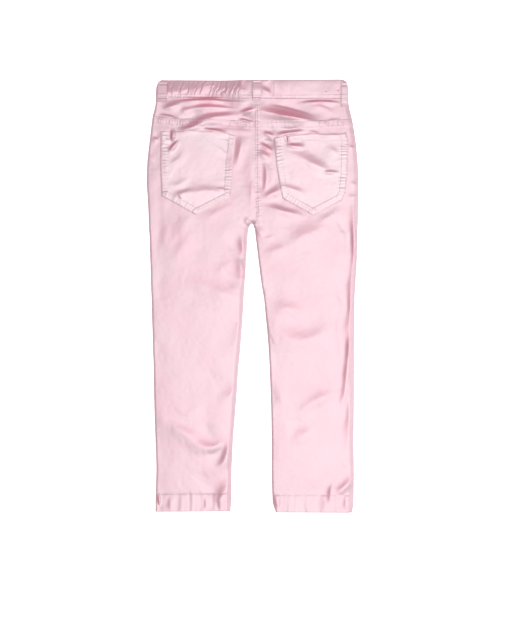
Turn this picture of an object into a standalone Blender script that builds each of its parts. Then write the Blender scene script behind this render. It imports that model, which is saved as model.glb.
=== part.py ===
"""Satin jeans for a small child, laid flat on their front, with the back up.

The surface they lie on is z = 0, +X points to the wearer's right and +Y to the waist. The
origin lies under the middle of the garment. Places on the cloth are in millimetres, as a
tailor gives them: `across` from the middle, plus to the wearer's right, and `down` from the
top of the waist. The back is one wavy surface, and every piece of it is cut from that.
"""

from collections import namedtuple

import bmesh
import bpy
import numpy as np

MM = 0.001

LENGTH = 620.0
SEAM_GAP = 0.3
CLOTH = 1.1
BAND_CLOTH = 1.6
LOOP_CLOTH = 1.4

# The side edges: how far the front's edge turns up, and where the back's edge starts.
CURL = 0.7
CURL_WIDTH = 4.0
EDGE_HEIGHT = 3.4
EDGE_ROUND = 14.0
LOFT = 2.6
LEAST_HEIGHT = 2 * CLOTH + SEAM_GAP + 0.15
CROTCH_DOWN = 206.0

# The waistband, its gathers on the wearer's left, and what lies under its middle.
BAND_LIFT = 0.9
BAND_DEPTH = 27.0
GATHER_WAVE = 9.5
GATHER_DEPTH = 0.4
GATHER_ENDS = (-128.0, -18.0)
FASTENING_LIFT = 3.6
FASTENING_PLACE = (3.0, 14.0)
FASTENING_FLAT = 24.0
FASTENING_REACH = 52.0
OVERLAP_END = 12.0
UNDERLAP_END = -18.0
UNDERLAP_RISE = 16.0

BUTTON_PLACE = (0.0, 14.0)
BUTTON_HEIGHT = 1.6
BUTTON_FLAT = 13.0
BUTTON_REACH = 26.0
# Radius and height of the button's section, down its outer side.
BUTTON_SECTION = ((0, 1.6), (6.4, 1.6), (7.5, 1.1), (7.5, 0.5), (6.9, 0), (5.6, 0), (5.0, 0.35), (0, 0.35))

HEM_DEPTH = 24.0
HEM_LIFT = 0.5
YOKE_BAND = 9.0
YOKE_LIFT = 0.5

Section = namedtuple("Section", "down outer_left inner_left inner_right outer_right")
# The outline. Above the crotch, both inner edges run along the centre back seam.
SECTIONS = [
    Section(0, -130.5, 6.0, 6.0, 130.0),
    Section(3.5, -134.5, 6.0, 6.0, 134.5),
    Section(9, -137.5, 6.2, 6.2, 136.5),
    Section(20, -139.0, 6.4, 6.4, 137.5),
    Section(31, -139.0, 6.4, 6.4, 137.5),
    Section(42, -140.5, 6.6, 6.6, 139.0),
    Section(54, -143.5, 6.6, 6.6, 142.0),
    Section(76, -146.2, 6.8, 6.8, 146.0),
    Section(99, -149.0, 7.0, 7.0, 149.0),
    Section(122, -151.2, 7.0, 7.0, 151.0),
    Section(145, -152.0, 7.2, 7.2, 152.0),
    Section(168, -150.6, 7.6, 7.6, 152.0),
    Section(186, -149.6, 8.0, 8.0, 152.0),
    Section(197, -149.2, 6.5, 6.5, 151.6),
    Section(203, -149.0, 2.2, 2.2, 151.2),
    Section(CROTCH_DOWN, -149.0, -0.8, -0.8, 151.0),
    Section(209, -148.8, -3.8, 1.6, 150.8),
    Section(214, -148.6, -5.5, 2.8, 150.5),
    Section(225, -147.8, -6.9, 4.2, 150.4),
    Section(248, -147.2, -8.3, 6.9, 150.0),
    Section(271, -146.3, -9.7, 9.7, 149.0),
    Section(294, -145.8, -11.2, 12.8, 147.5),
    Section(317, -144.8, -12.6, 16.5, 146.3),
    Section(340, -144.3, -14.0, 18.6, 146.0),
    Section(363, -143.5, -15.6, 20.8, 146.0),
    Section(386, -143.0, -17.3, 22.7, 146.0),
    Section(409, -142.0, -19.7, 24.0, 146.0),
    Section(454, -141.3, -22.8, 25.7, 145.7),
    Section(489, -140.3, -25.6, 26.7, 145.0),
    Section(523, -139.0, -28.2, 27.0, 144.8),
    Section(557, -138.0, -29.6, 27.0, 145.3),
    Section(603, -139.0, -30.2, 28.4, 144.8),
    Section(LENGTH, -139.0, -31.6, 33.0, 142.5),
]
OUTLINE = Section(*np.array(SECTIONS).T)

Line = namedtuple("Line", "across down")
WAIST_TOP = Line((-131, -40, 60, 131), (0.6, 1.0, 0.6, 0.0))
WAIST_SEAM = Line((-140, -60, 0, 70, 140), (26.5, 27.0, 28.5, 28.0, 27.0))
YOKE_SEAM = Line((-145, -110, -68, -10, 16, 77, 121, 146), (62.0, 66.5, 66.8, 69.8, 70.0, 69.4, 68.0, 67.0))
HEM_LINE = Line((-139, -30, 30, 145), (618.5, 618.0, 619.5, LENGTH))

# The fly's strip on the wearer's left front: its width, where it starts to narrow, the point
# that it narrows to, and its blunt end just before that.
FLY_WIDTH = 30.0
FLY_TURN_DOWN = 118.0
FLY_END_DOWN = 156.0
FLY_TIP_DOWN = 158.0
FLY = Line((-FLY_WIDTH, -FLY_WIDTH, 0.0, -0.8), (0.0, FLY_TURN_DOWN, FLY_TIP_DOWN, CROTCH_DOWN))
FRONT_CENTRE = Line((0.0, 0.0, -0.8), (0.0, FLY_TIP_DOWN, CROTCH_DOWN))

POCKETS = {
    "left": [
        (-131.5, 74.5), (-75.0, 74.4), (-36.5, 77.2), (-23.6, 81.1), (-28.3, 123.0),
        (-31.2, 169.5), (-80.8, 194.5), (-130.4, 167.3), (-132.3, 123.0),
    ],
    "right": [
        (30.0, 83.5), (49.3, 81.5), (83.7, 77.5), (120.8, 78.4), (134.5, 76.0), (137.1, 87.0),
        (136.3, 132.0), (133.3, 163.0), (128.4, 173.0), (86.5, 195.2), (43.0, 171.0),
        (37.9, 148.4), (34.0, 124.1),
    ],
}

# Each belt loop's middle line, its two ends and its width.
Loop = namedtuple("Loop", "across top bottom width")
LOOPS = {
    "loop_back_centre": Loop(6.3, 2.4, 30.5, 12.4),
    "loop_side_left": Loop(-129.0, 4.0, 32.5, 13.0),
    "loop_side_right": Loop(131.2, 5.0, 39.5, 9.5),
}

# Folds of the back. A fold runs from its start to its end, and its middle is pushed aside by
# its bend. Its depth is below zero in a trough and above zero on a ridge.
Fold = namedtuple("Fold", "across_start down_start across_end down_end bend depth width")
FOLDS = [
    # the yoke, on the wearer's left and then the right
    Fold(-122, 37, -2, 32, -6.8, -1.8, 4.0),
    Fold(-120, 43, -9, 43, 0.4, 1.5, 4.0),
    Fold(-86, 57, 11, 47, -4.5, -2.2, 4.0),
    Fold(17, 43, 100, 57, -5.6, -2.6, 7.0),
    Fold(45, 34, 104, 56, -3.9, 1.4, 5.0),
    Fold(70, 33, 124, 33, -1.4, -1.2, 3.5),
    # the seat
    Fold(-72, 70, -33, 76, -0.8, -1.5, 4.0),
    Fold(34, 79, 68, 72, -3.0, -2.0, 4.5),
    Fold(-19, 77, -28, 126, -1.9, -2.0, 4.5),
    Fold(-12, 80, -14, 125, 0.0, 1.5, 5.0),
    Fold(0, 139, -3, 186, -0.9, -2.0, 4.5),
    Fold(11, 93, 32, 107, -1.0, -1.8, 4.5),
    Fold(16, 122, 20, 154, 0.3, -2.2, 5.0),
    Fold(14, 166, 41, 153, -0.3, -2.0, 4.5),
    Fold(17, 175, 67, 190, 4.0, -2.4, 5.5),
    # the pockets
    Fold(-109, 162, -30, 160, -8.6, -2.2, 5.0),
    Fold(-100, 173, -42, 173, -6.0, 1.6, 5.5),
    Fold(-110, 89, -120, 107, -0.8, -2.2, 4.5),
    Fold(-101, 104, -120, 125, -6.1, -1.8, 4.5),
    Fold(-88, 123, -105, 146, -2.0, -1.2, 5.0),
    Fold(55, 98, 111, 123, -0.6, -2.4, 5.5),
    Fold(44, 103, 94, 139, -6.5, -1.2, 6.0),
    Fold(45, 155, 85, 167, -2.7, -2.0, 5.0),
    Fold(87, 157, 92, 182, -1.2, -1.2, 5.0),
    Fold(104, 92, 124, 103, -2.0, -1.2, 4.5),
    # the long crease inside the wearer's right side edge
    Fold(140, 170, 138, 312, -5.7, -1.8, 5.0),
    Fold(138, 312, 129, 442, 0.8, -1.6, 5.0),
    Fold(138, 470, 135, 528, -3.2, -1.4, 5.0),
    # the wearer's left leg
    Fold(-89, 196, -130, 262, 21.5, -2.6, 9.0),
    Fold(-38, 179, -125, 302, 29.2, -2.8, 9.0),
    Fold(-125, 302, -126, 390, 1.8, -2.2, 8.0),
    Fold(-20, 219, -12, 253, 2.8, -1.8, 5.0),
    Fold(-88, 282, -20, 300, 5.9, -2.8, 9.0),
    Fold(-25, 345, -30, 388, -4.3, -1.3, 5.0),
    Fold(-48, 459, -20, 429, 2.0, -2.0, 7.0),
    Fold(-136, 486, -70, 525, -4.5, -2.6, 8.0),
    Fold(-70, 526, -27, 492, 6.5, -3.0, 7.5),
    Fold(-50, 532, -29, 503, 1.4, 1.8, 5.5),
    Fold(-55, 561, -29, 515, -1.4, -2.2, 6.0),
    Fold(-50, 583, -30, 562, -0.6, -1.8, 5.5),
    # the wearer's right leg
    Fold(11, 249, 100, 209, 1.7, -2.8, 9.0),
    Fold(31, 330, 77, 332, -9.3, -2.0, 7.0),
    Fold(38, 353, 108, 355, 19.3, -2.6, 9.0),
    Fold(22, 355, 30, 385, -0.5, -1.4, 5.5),
    Fold(51, 475, 121, 435, -5.5, -2.2, 8.0),
    Fold(55, 512, 80, 500, -2.3, -2.0, 7.0),
    Fold(117, 583, 143, 562, -0.5, -2.0, 5.5),
    Fold(29, 533, 50, 595, 5.3, -2.2, 5.5),
    Fold(91, 533, 108, 573, -0.6, 1.2, 7.0),
    Fold(113, 579, 110, 613, 0.4, -1.2, 5.0),
]
FOLD_END = 0.28

# Grid lines of each kind of panel.
LEG_COLUMNS = 18
LEG_ROWS = 54
YOKE_COLUMNS = 20
YOKE_ROWS = 7
BAND_COLUMNS = 66
BAND_ROWS = 4
FRONT_BAND_COLUMNS = 34
FRONT_COLUMNS = (0.0, 0.03, 0.25, 0.5, 0.75, 0.97, 1.0)
FRONT_ROWS = (
    28, 58, 88, FLY_TURN_DOWN, 138, FLY_END_DOWN, FLY_TIP_DOWN, 182, CROTCH_DOWN,
    209, 214, 225, 248, 294, 340, 386, 454, 523, 603, LENGTH,
)
LOOP_COLUMNS = 2
LOOP_ROWS = 9
# A belt loop clears the cloth this far round each of its points.
LOOP_CLEAR = 4.0

PINK = (0.90, 0.68, 0.75)
PALE_PINK = (0.93, 0.73, 0.79)
METAL = (0.72, 0.72, 0.73)


def along(line, down):
    """How far across a line lies at a depth."""
    return np.interp(down, line.down, line.across)


def depth_of(line, across):
    """How far down a line lies at a place across."""
    return np.interp(across, line.across, line.down)


def edge(name):
    """A side of the outline, as a function of down."""
    return lambda down: np.interp(down, OUTLINE.down, getattr(OUTLINE, name))


def smooth_step(t):
    """0 to 1 as t runs from 0 to 1, level at both ends."""
    t = np.clip(t, 0, 1)
    return t * t * (3 - 2 * t)


def bump(across, down, place, flat, reach):
    """1 within `flat` of a place, and 0 beyond `reach`."""
    distance = np.hypot(across - place[0], down - place[1])
    return smooth_step((reach - distance) / (reach - flat))


def quarter_round(distance):
    """0 at an edge, and 1 from EDGE_ROUND inwards."""
    t = np.clip(distance / EDGE_ROUND, 0, 1)
    return np.sqrt(1 - (1 - t) ** 2)


def side_distances(across, down):
    """How far a place lies from the nearest outer edge, and from the inner edges or the crotch."""
    outer = np.minimum(across - edge("outer_left")(down), edge("outer_right")(down) - across)
    beside = np.where(across < 0, edge("inner_left")(down) - across, across - edge("inner_right")(down))
    above = np.hypot(across - along(FRONT_CENTRE, CROTCH_DOWN), CROTCH_DOWN - down)
    return outer, np.where(down > CROTCH_DOWN, beside, above)


def curl(distance):
    """How far the front's edge turns up, at a distance from the outline."""
    return CURL * np.clip(1 - distance / CURL_WIDTH, 0, 1) ** 2


def fold_height(fold, across, down):
    """A rounded trough or ridge along a bent line, fading at both of its ends."""
    run = np.array([fold.across_end - fold.across_start, fold.down_end - fold.down_start])
    length = np.hypot(*run)
    ahead = run / length
    east = across - fold.across_start
    south = down - fold.down_start
    t = (east * ahead[0] + south * ahead[1]) / length
    middle = fold.bend * 4 * np.clip(t * (1 - t), 0, None)
    aside = south * ahead[0] - east * ahead[1] - middle
    fade = smooth_step((t + FOLD_END / 2) / FOLD_END) * smooth_step((1 - t + FOLD_END / 2) / FOLD_END)
    return fold.depth * fade * np.exp(-((aside / fold.width) ** 2))


def gathers(across, down):
    """The elastic's ripples along the waistband."""
    start, end = GATHER_ENDS
    inside = smooth_step((across - start) / 12) * smooth_step((end - across) / 12)
    slant = across + 0.12 * (down - BAND_DEPTH)
    return -GATHER_DEPTH * inside * np.cos(2 * np.pi * slant / GATHER_WAVE) * (down < BAND_DEPTH + 2)


def back_height(across, down):
    """The height of the back's outer face."""
    outer, inner = side_distances(across, down)
    loft = LOFT * quarter_round(outer) * quarter_round(inner)
    loft = loft * smooth_step((down - BAND_DEPTH) / 20) * (0.25 + 0.75 * smooth_step((LENGTH - down) / 40))
    wave = sum(fold_height(fold, across, down) for fold in FOLDS)
    body = np.maximum(EDGE_HEIGHT + loft + wave, LEAST_HEIGHT + curl(outer) + curl(inner))
    band = BAND_LIFT * smooth_step((BAND_DEPTH + 3 - down) / 3)
    yoke_edge = depth_of(YOKE_SEAM, across)
    yoke = YOKE_LIFT * (down > yoke_edge - YOKE_BAND) * (down < yoke_edge)
    hem = HEM_LIFT * (down > depth_of(HEM_LINE, across) - HEM_DEPTH)
    lift = FASTENING_LIFT * bump(across, down, FASTENING_PLACE, FASTENING_FLAT, FASTENING_REACH)
    return body + band + yoke + hem + lift + gathers(across, down)


def patch(top, bottom, left, right, columns, rows):
    """Across and down on a grid between two lines and two edges, half a seam gap inside them."""
    half = SEAM_GAP / 2
    v = np.asarray(rows)[:, None]
    u = np.asarray(columns)[None, :]
    down = v * LENGTH + 0 * u
    for _ in range(6):
        start = left(down) + half
        across = start + (right(down) - half - start) * u
        start = top(across) + half
        down = start + (bottom(across) - half - start) * v
    return across, down


def even(count):
    return np.linspace(0, 1, count + 1)


def on(line):
    return lambda across: depth_of(line, across)


def fixed(value):
    return lambda down: value + 0 * down


def put(name, mesh_maker, colour, roughness=0.4, metallic=0.0):
    """A mesh object from what mesh_maker adds to a bmesh, with a material of its own."""
    built = bmesh.new()
    mesh_maker(built)
    mesh = bpy.data.meshes.new(name)
    built.to_mesh(mesh)
    built.free()
    thing = bpy.data.objects.new(name, mesh)
    material = bpy.data.materials.new(name)
    material.use_nodes = True
    shader = material.node_tree.nodes["Principled BSDF"]
    shader.inputs["Base Color"].default_value = (*colour, 1)
    shader.inputs["Roughness"].default_value = roughness
    shader.inputs["Metallic"].default_value = metallic
    mesh.materials.append(material)
    JEANS.objects.link(thing)
    return thing


def sheet(name, across, down, top, wall, colour):
    """Cloth of one thickness: a grid of its outer face, extruded straight down by the wall."""
    rows, columns = across.shape

    def make(built):
        bmesh.ops.create_grid(built, x_segments=columns - 1, y_segments=rows - 1, size=1)
        built.verts.ensure_lookup_table()
        places = np.stack([across, LENGTH / 2 - down, top], axis=-1)[::-1].reshape(-1, 3) * MM
        for vert, place in zip(built.verts, places):
            vert.co = place
        bmesh.ops.triangulate(built, faces=built.faces, quad_method="FIXED")
        outer = list(built.faces)
        lower = bmesh.ops.extrude_face_region(built, geom=outer, use_keep_orig=True)
        verts = [item for item in lower["geom"] if isinstance(item, bmesh.types.BMVert)]
        bmesh.ops.translate(built, verts=verts, vec=(0, 0, -wall * MM))
        bmesh.ops.recalc_face_normals(built, faces=built.faces)

    return put(name, make, colour)


def back_panels():
    """Two legs, two yokes and the back waistband, and the leg grids that the pockets follow."""
    grids = {}
    sides = {"left": ("outer_left", "inner_left"), "right": ("inner_right", "outer_right")}
    for side, (west, east) in sides.items():
        edges = (edge(west), edge(east))
        grid = patch(on(YOKE_SEAM), on(HEM_LINE), *edges, even(LEG_COLUMNS), even(LEG_ROWS))
        sheet(f"back_leg_{side}", *grid, back_height(*grid), CLOTH, PINK)
        grids[side] = grid
        grid = patch(on(WAIST_SEAM), on(YOKE_SEAM), *edges, even(YOKE_COLUMNS), even(YOKE_ROWS))
        sheet(f"back_yoke_{side}", *grid, back_height(*grid), CLOTH, PINK)
    edges = (edge("outer_left"), edge("outer_right"))
    grid = patch(on(WAIST_TOP), on(WAIST_SEAM), *edges, even(BAND_COLUMNS), even(BAND_ROWS))
    sheet("waistband_back", *grid, back_height(*grid), BAND_CLOTH, PALE_PINK)
    return grids


def pocket(side, grid):
    """A patch pocket: the leg's own surface moved out, cut to the pocket's outline."""
    top = back_height(*grid) + SEAM_GAP + CLOTH
    piece = sheet(f"back_pocket_{side}", *grid, top, CLOTH, PALE_PINK)
    outline = bpy.data.curves.new(f"pocket_outline_{side}", "CURVE")
    outline.dimensions = "2D"
    outline.fill_mode = "BOTH"
    outline.extrude = 30 * MM
    spline = outline.splines.new("POLY")
    corners = POCKETS[side]
    spline.points.add(len(corners) - 1)
    for point, (across, down) in zip(spline.points, corners):
        point.co = (across * MM, (LENGTH / 2 - down) * MM, 0, 1)
    spline.use_cyclic_u = True
    guide = bpy.data.objects.new(outline.name, outline)
    CUTTERS.objects.link(guide)
    bpy.context.view_layer.update()
    graph = bpy.context.evaluated_depsgraph_get()
    mesh = bpy.data.meshes.new_from_object(guide.evaluated_get(graph))
    bpy.data.objects.remove(guide)
    prism = bmesh.new()
    prism.from_mesh(mesh)
    bmesh.ops.remove_doubles(prism, verts=prism.verts, dist=1e-6)
    bmesh.ops.recalc_face_normals(prism, faces=prism.faces)
    prism.to_mesh(mesh)
    prism.free()
    cutter = bpy.data.objects.new(f"pocket_cutter_{side}", mesh)
    cutter.hide_render = True
    cutter.display_type = "WIRE"
    CUTTERS.objects.link(cutter)
    cut = piece.modifiers.new("outline", "BOOLEAN")
    cut.operation = "INTERSECT"
    cut.object = cutter


def front_height(across, down):
    """The height of the front's outer face, which is flat on the surface but for its edges."""
    outer, inner = side_distances(across, down)
    return curl(outer) + curl(np.abs(inner)) * (down > CROTCH_DOWN)


def front_panels():
    """Two legs and the fly's strip, which share their rows along the seams."""
    rows = (np.array(FRONT_ROWS) - FRONT_ROWS[0]) / (LENGTH - FRONT_ROWS[0])
    fly_rows = rows[: FRONT_ROWS.index(FLY_END_DOWN) + 1]

    def west(down):
        return np.where(down < CROTCH_DOWN, along(FLY, down), edge("inner_left")(down))

    def east(down):
        return np.where(down < CROTCH_DOWN, along(FRONT_CENTRE, down), edge("inner_right")(down))

    panels = {
        "front_leg_left": (edge("outer_left"), west, FRONT_COLUMNS, rows),
        "front_leg_right": (east, edge("outer_right"), FRONT_COLUMNS, rows),
        "fly": (west, east, even(3), fly_rows),
    }
    for name, (left, right, columns, stations) in panels.items():
        grid = patch(on(WAIST_SEAM), on(HEM_LINE), left, right, columns, stations)
        sheet(name, *grid, front_height(*grid) + CLOTH, CLOTH, PINK)


def over_button(across, down):
    """How far the overlap rises where the button lies under it."""
    rise = BUTTON_HEIGHT + SEAM_GAP
    return rise * bump(across, down, BUTTON_PLACE, BUTTON_FLAT, BUTTON_REACH)


def front_waistband():
    """The overlap, with the button under it, and the underlap that lies inside it."""
    lines = (on(WAIST_TOP), on(WAIST_SEAM))
    columns = even(FRONT_BAND_COLUMNS)
    rows = even(BAND_ROWS)
    grid = patch(*lines, edge("outer_left"), fixed(OVERLAP_END), columns, rows)
    outer, _ = side_distances(*grid)
    sheet("waistband_front_left", *grid, curl(outer) + over_button(*grid) + BAND_CLOTH, BAND_CLOTH, PALE_PINK)
    grid = patch(*lines, fixed(UNDERLAP_END), edge("outer_right"), columns, rows)
    outer, _ = side_distances(*grid)
    inside = smooth_step((OVERLAP_END + UNDERLAP_RISE - grid[0]) / (UNDERLAP_RISE - 5))
    lift = inside * (BAND_CLOTH + SEAM_GAP + 0.15) + over_button(*grid)
    sheet("waistband_front_right", *grid, curl(outer) + lift + BAND_CLOTH, BAND_CLOTH, PALE_PINK)


def belt_loop(name, loop):
    """A folded strip that bridges the waistband, clear of the highest cloth near it."""
    across, down = np.meshgrid(
        loop.across + loop.width * (even(LOOP_COLUMNS) - 0.5),
        loop.top + (loop.bottom - loop.top) * even(LOOP_ROWS),
    )
    near = [
        back_height(across + aside, down + ahead)
        for aside in np.linspace(-LOOP_CLEAR, LOOP_CLEAR, 9)
        for ahead in np.linspace(-LOOP_CLEAR, LOOP_CLEAR, 9)
    ]
    top = np.max(near, axis=0).max(axis=1, keepdims=True) + SEAM_GAP + LOOP_CLOTH + 0 * across
    sheet(name, across, down, top, LOOP_CLOTH, PALE_PINK)


def button():
    """A turned tack button, face down."""

    def make(built):
        verts = [built.verts.new((radius * MM, 0, height * MM)) for radius, height in BUTTON_SECTION]
        for first, second in zip(verts, verts[1:]):
            built.edges.new((first, second))

    piece = put("button", make, METAL, roughness=0.3, metallic=1.0)
    piece.location = (BUTTON_PLACE[0] * MM, (LENGTH / 2 - BUTTON_PLACE[1]) * MM, 0)
    turn = piece.modifiers.new("turn", "SCREW")
    turn.axis = "Z"
    turn.steps = turn.render_steps = 20
    turn.use_merge_vertices = True
    turn.merge_threshold = 0.00001
    turn.use_normal_calculate = True


for old in list(bpy.data.objects):
    bpy.data.objects.remove(old)
JEANS = bpy.data.collections.new("satin_jeans")
CUTTERS = bpy.data.collections.new("cutters")
bpy.context.scene.collection.children.link(JEANS)
bpy.context.scene.collection.children.link(CUTTERS)

leg_grids = back_panels()
for pocket_side, leg_grid in leg_grids.items():
    pocket(pocket_side, leg_grid)
front_panels()
front_waistband()
for loop_name, belt in LOOPS.items():
    belt_loop(loop_name, belt)
button()
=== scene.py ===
"""Satin jeans for a small child, laid flat with the back up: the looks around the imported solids.

Places on the cloth are in millimetres, as a tailor gives them: `across` from the middle, plus
to the wearer's right, and `down` from the top of the waist. `height` is above the surface.
"""

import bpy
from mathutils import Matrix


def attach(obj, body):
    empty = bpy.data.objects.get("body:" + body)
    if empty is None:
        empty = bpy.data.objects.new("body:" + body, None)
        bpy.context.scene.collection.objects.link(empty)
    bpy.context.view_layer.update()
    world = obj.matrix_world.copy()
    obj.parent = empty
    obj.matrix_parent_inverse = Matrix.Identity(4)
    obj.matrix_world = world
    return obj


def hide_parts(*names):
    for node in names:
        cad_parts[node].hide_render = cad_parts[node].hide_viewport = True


bl_info = {
    "name": "Satin Jeans",
    "version": (1, 0, 0),
    "blender": (4, 5, 0),
    "location": "View3D > Sidebar > Satin Jeans",
    "description": "Dresses a child's satin jeans, laid flat with the back up",
    "category": "Object",
}

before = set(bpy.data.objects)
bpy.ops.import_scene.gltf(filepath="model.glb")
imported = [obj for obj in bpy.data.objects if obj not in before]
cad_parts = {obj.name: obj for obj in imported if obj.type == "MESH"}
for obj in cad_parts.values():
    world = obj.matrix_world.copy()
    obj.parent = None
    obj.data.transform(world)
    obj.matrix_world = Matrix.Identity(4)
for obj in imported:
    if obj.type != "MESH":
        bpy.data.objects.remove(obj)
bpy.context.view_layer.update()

from collections import namedtuple
from functools import partial
from math import pi, radians

import bpy
import numpy as np
from bpy.props import FloatProperty, FloatVectorProperty, PointerProperty
from mathutils import Vector

MM = 0.001
LENGTH = 620.0

Section = namedtuple("Section", "down outer_left inner_left inner_right outer_right")
# The outline, from the waist to the hem. Above the crotch, both inner edges run along the centre
# back seam.
SECTIONS = [
    (0, -130.5, 6, 6, 130),
    (3.5, -134.5, 6, 6, 134.5),
    (9, -137.5, 6.2, 6.2, 136.5),
    (20, -139, 6.4, 6.4, 137.5),
    (31, -139, 6.4, 6.4, 137.5),
    (42, -140.5, 6.6, 6.6, 139),
    (54, -143.5, 6.6, 6.6, 142),
    (76, -146.2, 6.8, 6.8, 146),
    (99, -149, 7, 7, 149),
    (122, -151.2, 7, 7, 151),
    (145, -152, 7.2, 7.2, 152),
    (168, -150.6, 7.6, 7.6, 152),
    (186, -149.6, 8, 8, 152),
    (197, -149.2, 6.5, 6.5, 151.6),
    (203, -149, 2.2, 2.2, 151.2),
    (206, -149, -0.8, -0.8, 151),
    (209, -148.8, -3.8, 1.6, 150.8),
    (214, -148.6, -5.5, 2.8, 150.5),
    (225, -147.8, -6.9, 4.2, 150.4),
    (248, -147.2, -8.3, 6.9, 150),
    (271, -146.3, -9.7, 9.7, 149),
    (294, -145.8, -11.2, 12.8, 147.5),
    (317, -144.8, -12.6, 16.5, 146.3),
    (340, -144.3, -14, 18.6, 146),
    (363, -143.5, -15.6, 20.8, 146),
    (386, -143, -17.3, 22.7, 146),
    (409, -142, -19.7, 24, 146),
    (454, -141.3, -22.8, 25.7, 145.7),
    (489, -140.3, -25.6, 26.7, 145),
    (523, -139, -28.2, 27, 144.8),
    (557, -138, -29.6, 27, 145.3),
    (603, -139, -30.2, 28.4, 144.8),
    (LENGTH, -139, -31.6, 33, 142.5),
]
OUTLINE = Section(*np.array(SECTIONS, float).T)
CROTCH = (-0.8, 206.0)

Line = namedtuple("Line", "across down")
WAIST_TOP = Line((-131, -40, 60, 131), (0.6, 1.0, 0.6, 0.0))
WAIST_SEAM = Line((-140, -60, 0, 70, 140), (26.5, 27.0, 28.5, 28.0, 27.0))
YOKE_SEAM = Line(
    (-145, -110, -68, -10, 16, 77, 121, 146),
    (62.0, 66.5, 66.8, 69.8, 70.0, 69.4, 68.0, 67.0),
)
HEM_LINE = Line((-139, -30, 30, 145), (618.5, 618.0, 619.5, LENGTH))
FLY = Line((-30.0, -30.0, 0.0, -0.8), (0.0, 118.0, 158.0, 206.0))
FLY_END = 156
FRONT_CENTRE = Line((0.0, 0.0, -0.8), (0.0, 158.0, 206.0))

# The thickness of each layer.
FRONT_CLOTH = 1.1
BACK_CLOTH = 1.0
BAND_CLOTH = 1.5
# The back's height at its side seams, and how it rises from there: steeply on the sides that
# face the wearer's left, and slackly on those that face their right.
SIDE_SEAM = 1.9
EDGE_RISE = 2.5
EDGE_RADIUS = 3.3
SLACK_RADIUS = 8.0
# How far the middle of a leg stands above its edges, and how far in it gets there.
LOFT = 0.7
LOFT_RADIUS = 44.0
# From here down, the legs rise a little towards their doubled hems.
LEG_RISE_START = 430
LEG_RISE = 0.011
FREE_EDGE_RADIUS = 1.3
# The least height of the back over the front, and how softly it is kept.
LEAST_HEIGHT = 2.7
LEAST_SOFTNESS = 0.35
WAIST_DEPTH = 27.5
HEM_DEPTH = 26
BUTTON_PLACE = (0, 14)
SHARP = radians(62)


def curve_at(x, xs, ys):
    """A smooth curve through the points: a cubic between each two, whose slopes are the harmonic
    means of their neighbours', so that it never swings past a point."""
    xs, ys = np.asarray(xs, float), np.asarray(ys, float)
    rise = np.diff(ys) / np.diff(xs)
    both = rise[:-1] * rise[1:]
    slope = np.zeros_like(ys)
    slope[1:-1] = np.where(both > 0, 2 * both / np.where(both > 0, rise[:-1] + rise[1:], 1), 0)
    slope[0], slope[-1] = rise[0], rise[-1]
    i = np.clip(np.searchsorted(xs, x) - 1, 0, len(xs) - 2)
    gap = xs[i + 1] - xs[i]
    t = np.clip((x - xs[i]) / gap, 0, 1)
    start = ys[i] * (1 + 2 * t) * (1 - t) ** 2 + slope[i] * gap * t * (1 - t) ** 2
    end = ys[i + 1] * t * t * (3 - 2 * t) + slope[i + 1] * gap * t * t * (t - 1)
    return start + end


def edge(name):
    """A side of the outline, as a function of down."""
    return lambda down: curve_at(down, OUTLINE.down, getattr(OUTLINE, name))


def on(line):
    """A line that runs across, as a function of across."""
    return lambda across: curve_at(across, line.across, line.down)


def fixed(value):
    """An edge that runs straight down."""
    return lambda down: value + 0 * down


def smooth_step(t):
    """0 to 1 as t runs from 0 to 1, level at both ends."""
    t = np.clip(t, 0, 1)
    return t * t * (3 - 2 * t)


def rounding(t):
    """A quarter circle's rise: 0 at an edge, 1 and level from t = 1 on."""
    return np.sqrt(1 - (1 - np.clip(t, 0, 1)) ** 2)


def bump(across, down, place, flat, reach):
    """1 within `flat` of a place, and 0 beyond `reach`."""
    distance = np.hypot(across - place[0], down - place[1])
    return smooth_step((reach - distance) / (reach - flat))


def rough(x, y, cell, seed):
    """Smooth seeded noise from -1 to 1: random numbers at the corners of square cells, blended
    between the corners by smooth steps."""
    grid = np.random.default_rng(seed).uniform(-1, 1, (64, 64))
    u, v = x / cell + 500.37, y / cell + 500.71
    i, j = np.floor(u).astype(int), np.floor(v).astype(int)
    a, b = smooth_step(u - i), smooth_step(v - j)
    i0, i1, j0, j1 = i % 64, (i + 1) % 64, j % 64, (j + 1) % 64
    near = grid[i0, j0] * (1 - a) + grid[i1, j0] * a
    far = grid[i0, j1] * (1 - a) + grid[i1, j1] * a
    return near * (1 - b) + far * b


def beside(path, across, down):
    """Where each point lies about a path of straight steps: how far along the path its nearest
    place is, how far the point is to the side of that step's line (plus is further down where the
    path runs to the wearer's right), how far from the place, and the path's whole length."""
    path = np.asarray(path, float)
    best = np.full(across.shape, np.inf)
    run = np.zeros(across.shape)
    side = np.zeros(across.shape)
    gone = 0.0
    for start, end in zip(path[:-1], path[1:]):
        step = end - start
        length = np.hypot(*step)
        ahead = step / length
        east, south = across - start[0], down - start[1]
        t = np.clip(east * ahead[0] + south * ahead[1], 0, length)
        gap = (east - t * ahead[0]) ** 2 + (south - t * ahead[1]) ** 2
        near = gap < best
        best = np.where(near, gap, best)
        run = np.where(near, gone + t, run)
        side = np.where(near, south * ahead[0] - east * ahead[1], side)
        gone += length
    return run, side, np.sqrt(best), gone


# ---- folds

Fold = namedtuple("Fold", "start middle end rise spread flank")
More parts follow.
